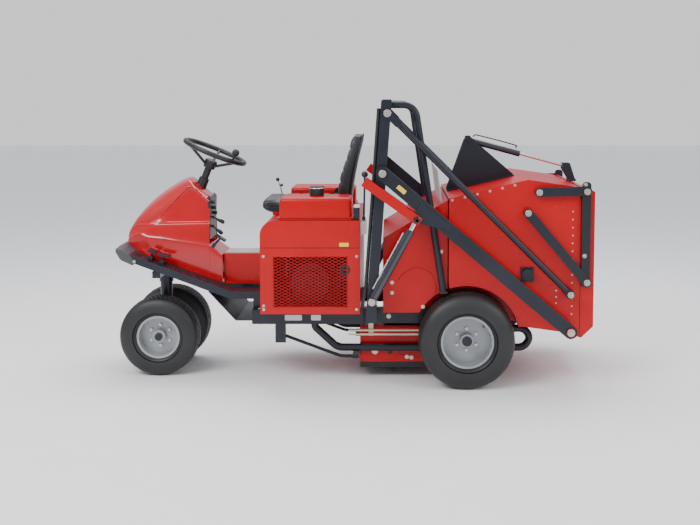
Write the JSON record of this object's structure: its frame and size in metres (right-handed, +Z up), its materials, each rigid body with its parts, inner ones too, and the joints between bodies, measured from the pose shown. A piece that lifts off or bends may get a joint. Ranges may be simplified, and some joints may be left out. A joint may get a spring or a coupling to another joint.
{
  "type": "ride on sweeper",
  "caption": "Ride-on turf sweeper: brush deck, chute and high-dump hopper on a mast, with steered twin front wheels, seat and engine bay.",
  "frame": {"origin": "on the ground below the middle of the machine's box", "axes": "+X from the nose to the hopper door, +Y to the driver's right, +Z up"},
  "size_m": [2.94, 1.344, 1.738],
  "materials": {
    "red_paint": "gloss",
    "frame_paint": "satin",
    "tyre": "matt",
    "silver_paint": "satin",
    "zinc": "satin",
    "chrome_rod": "polished",
    "black_plastic": "matt",
    "vinyl": "satin",
    "rubber": "matt",
    "bristle": "matt",
    "tread_plate": "satin",
    "cream_pipe": "satin",
    "hood_shell": "gloss",
    "grey_flap": "matt"
  },
  "bodies": {
    "chassis": {"chassis_rails": "frame_paint", "rear_axle": "frame_paint", "front_frame": "frame_paint", "front_bumper": "frame_paint", "step_plates": "frame_paint", "front_hood": "hood_shell", "dash_panel": "black_plastic", "tunnel_cover": "red_paint", "tunnel_plate": "tread_plate", "guard_tubes": "frame_paint", "engine_bay": "red_paint", "side_panels": "red_paint", "engine": "zinc", "fuel_tank": "red_paint", "tool_box": "red_paint", "mast_frame": "frame_paint", "chute": "red_paint", "chute_flap": "grey_flap", "valve_block": "zinc", "steel_pipes": "cream_pipe", "mast_hoses": "rubber"},
    "front_steer": {"front_fork": "frame_paint"},
    "front_wheel_left": {"front_left_tyre": "tyre", "front_left_rim": "silver_paint"},
    "front_wheel_right": {"front_right_tyre": "tyre", "front_right_rim": "silver_paint"},
    "rear_wheel_left": {"rear_left_tyre": "tyre", "rear_left_rim": "silver_paint"},
    "rear_wheel_right": {"rear_right_tyre": "tyre", "rear_right_rim": "silver_paint"},
    "steering": {"steering_wheel": "black_plastic"},
    "spinner": {"spinner_knob": "black_plastic"},
    "throttle": {"throttle_lever": "black_plastic"},
    "brush_control": {"brush_lever": "black_plastic"},
    "drive_pedal": {"drive_pedal": "frame_paint"},
    "brake_pedal": {"brake_pedal": "frame_paint"},
    "lift_pedal": {"lift_pedal": "frame_paint"},
    "fuel_cap": {"filler_cap": "black_plastic"},
    "seat": {"seat_pan": "frame_paint", "seat_cushion": "vinyl"},
    "seat_back": {"seat_back": "vinyl"},
    "hydraulic_lever": {"hydraulic_lever": "black_plastic"},
    "deck": {"brush_deck": "red_paint", "deck_skirt": "rubber"},
    "brush": {"brush_core": "frame_paint", "brush_bristles": "bristle"},
    "arms": {"lift_arms": "frame_paint"},
    "tie_rods": {"tie_rods": "frame_paint"},
    "lift_barrels": {"lift_barrels": "frame_paint"},
    "lift_rods": {"lift_rods": "chrome_rod"},
    "strut_left": {"safety_strut_left": "red_paint"},
    "strut_right": {"safety_strut_right": "red_paint"},
    "hopper": {"hopper_shell": "red_paint", "hopper_fittings": "frame_paint"},
    "lower_links": {"lower_links": "frame_paint"},
    "upper_links": {"upper_links": "frame_paint"},
    "door": {"door_panel": "red_paint", "door_bars": "frame_paint"},
    "door_barrel": {"door_barrel": "frame_paint"},
    "door_rod": {"door_rod": "chrome_rod"}
  },
  "joints": [
    {"name": "steer", "type": "hinge", "parent": "chassis", "child": "front_steer", "pos_m": [-1.22, 0, 0.56], "axis": [0, 0, 1], "range_deg": [-45, 45]},
    {"name": "steering_wheel_turn", "type": "hinge", "parent": "chassis", "child": "steering", "pos_m": [-0.99, 0, 1.164], "axis": [0.3827, 0, 0.9239], "range_deg": [-270, 270]},
    {"name": "spinner_turn", "type": "hinge", "parent": "steering", "child": "spinner", "pos_m": [-0.76035, -0.13685, 1.34813], "axis": [0.3827, 0, 0.9239], "continuous": true},
    {"name": "front_left_roll", "type": "hinge", "parent": "front_steer", "child": "front_wheel_left", "pos_m": [-1.22, -0.2, 0.25], "axis": [0, 1, 0], "continuous": true},
    {"name": "front_right_roll", "type": "hinge", "parent": "front_steer", "child": "front_wheel_right", "pos_m": [-1.22, 0.2, 0.25], "axis": [0, 1, 0], "continuous": true},
    {"name": "rear_left_roll", "type": "hinge", "parent": "chassis", "child": "rear_wheel_left", "pos_m": [0.702, -0.5, 0.292], "axis": [0, 1, 0], "continuous": true},
    {"name": "rear_right_roll", "type": "hinge", "parent": "chassis", "child": "rear_wheel_right", "pos_m": [0.702, 0.5, 0.292], "axis": [0, 1, 0], "continuous": true},
    {"name": "throttle_swing", "type": "hinge", "parent": "chassis", "child": "throttle", "pos_m": [-0.898, -0.058, 0.985], "axis": [0, 1, 0], "range_deg": [-20, 15]},
    {"name": "brush_control_swing", "type": "hinge", "parent": "chassis", "child": "brush_control", "pos_m": [-0.8994, -0.08, 0.93], "axis": [0, 1, 0], "range_deg": [-20, 15]},
    {"name": "drive_pedal_press", "type": "hinge", "parent": "chassis", "child": "drive_pedal", "pos_m": [-1.188, -0.25, 0.72773], "axis": [0, 1, 0], "range_deg": [-10, 10], "stiffness_Nm_per_rad": 20},
    {"name": "brake_pedal_press", "type": "hinge", "parent": "chassis", "child": "brake_pedal", "pos_m": [-1.258, -0.25, 0.75345], "axis": [0, 1, 0], "range_deg": [-12, 0], "stiffness_Nm_per_rad": 20, "springref_deg": 8.59},
    {"name": "lift_pedal_press", "type": "hinge", "parent": "chassis", "child": "lift_pedal", "pos_m": [-0.884, -0.13, 0.8144], "axis": [0, 1, 0], "range_deg": [0, 10], "stiffness_Nm_per_rad": 20, "springref_deg": -5.73},
    {"name": "fuel_cap_twist", "type": "hinge", "parent": "chassis", "child": "fuel_cap", "pos_m": [-0.209, -0.3775, 1.154], "axis": [0, 0, 1], "range_deg": [0, 90]},
    {"name": "seat_slide", "type": "slide", "parent": "chassis", "child": "seat", "axis": [1, 0, 0], "range_m": [-0.03, 0.05]},
    {"name": "backrest_tilt", "type": "hinge", "parent": "seat", "child": "seat_back", "pos_m": [-0.095, 0, 1.112], "axis": [0, 1, 0], "range_deg": [0, 12]},
    {"name": "hydraulic_lever_swing", "type": "hinge", "parent": "chassis", "child": "hydraulic_lever", "pos_m": [0.08, -0.444, 1.0223], "axis": [0, 1, 0], "range_deg": [-8, 8], "stiffness_Nm_per_rad": 6},
    {"name": "deck_float", "type": "hinge", "parent": "chassis", "child": "deck", "pos_m": [-0.437, 0, 0.29], "axis": [0, -1, 0], "range_deg": [0, 1.2]},
    {"name": "brush_spin", "type": "hinge", "parent": "deck", "child": "brush", "pos_m": [0.24, 0, 0.165], "axis": [0, 1, 0], "continuous": true},
    {"name": "lift", "type": "hinge", "parent": "chassis", "child": "arms", "pos_m": [0.1942, 0, 1.31], "axis": [0, -1, 0], "range_deg": [0, 50]},
    {"name": "hopper_tilt", "type": "hinge", "parent": "arms", "child": "hopper", "pos_m": [1.3106, 0, 0.3653], "axis": [0, -1, 0], "range_deg": [-80, 0]},
    {"name": "tie_rod_swing", "type": "hinge", "parent": "chassis", "child": "tie_rods", "pos_m": [0.2232, 0, 1.6616], "axis": [0, -1, 0], "range_deg": [0, 48.5]},
    {"name": "lift_ram_swing", "type": "hinge", "parent": "chassis", "child": "lift_barrels", "pos_m": [0.1311, 0, 0.5488], "axis": [0, -1, 0], "range_deg": [-1.7, 0]},
    {"name": "lift_ram_stroke", "type": "slide", "parent": "lift_barrels", "child": "lift_rods", "axis": [0.4752, 0, 0.8799], "range_m": [0, 0.286]},
    {"name": "left_strut_drop", "type": "hinge", "parent": "arms", "child": "strut_left", "pos_m": [0.3955, 0, 1.0384], "axis": [0, -1, 0], "range_deg": [0, 40]},
    {"name": "right_strut_drop", "type": "hinge", "parent": "arms", "child": "strut_right", "pos_m": [0.3955, 0, 1.0384], "axis": [0, -1, 0], "range_deg": [0, 40]},
    {"name": "door_open", "type": "hinge", "parent": "hopper", "child": "lower_links", "pos_m": [1.0647, 0, 1.0648], "axis": [0, -1, 0], "range_deg": [0, 45]},
    {"name": "upper_link_swing", "type": "hinge", "parent": "hopper", "child": "upper_links", "pos_m": [1.13, 0, 1.1888], "axis": [0, -1, 0], "range_deg": [0, 60.5]},
    {"name": "door_turn", "type": "hinge", "parent": "lower_links", "child": "door", "pos_m": [1.4211, 0, 0.6443], "axis": [0, -1, 0], "range_deg": [-6.6, 0]},
    {"name": "door_ram_swing", "type": "hinge", "parent": "hopper", "child": "door_barrel", "pos_m": [0.7429, 0, 1.4797], "axis": [0, -1, 0], "range_deg": [0, 18.8]},
    {"name": "door_ram_stroke", "type": "slide", "parent": "door_barrel", "child": "door_rod", "axis": [0.9654, 0, -0.2608], "range_m": [-0.2245, 0]}
  ],
  "couplings": [
    {"joint": "steering_wheel_turn", "follows": "steer", "ratio": 6},
    {"joint": "hopper_tilt", "follows": "lift", "ratio": -1.59},
    {"joint": "tie_rod_swing", "follows": "lift", "ratio": 0.9625},
    {"joint": "lift_ram_swing", "follows": "lift", "ratio": -0.0325},
    {"joint": "lift_ram_stroke", "follows": "lift", "m_per_rad": 0.3266},
    {"joint": "upper_link_swing", "follows": "door_open", "ratio": 1.335},
    {"joint": "door_turn", "follows": "door_open", "ratio": -0.145},
    {"joint": "door_ram_swing", "follows": "door_open", "ratio": 0.415},
    {"joint": "door_ram_stroke", "follows": "door_open", "m_per_rad": -0.2842}
  ]
}
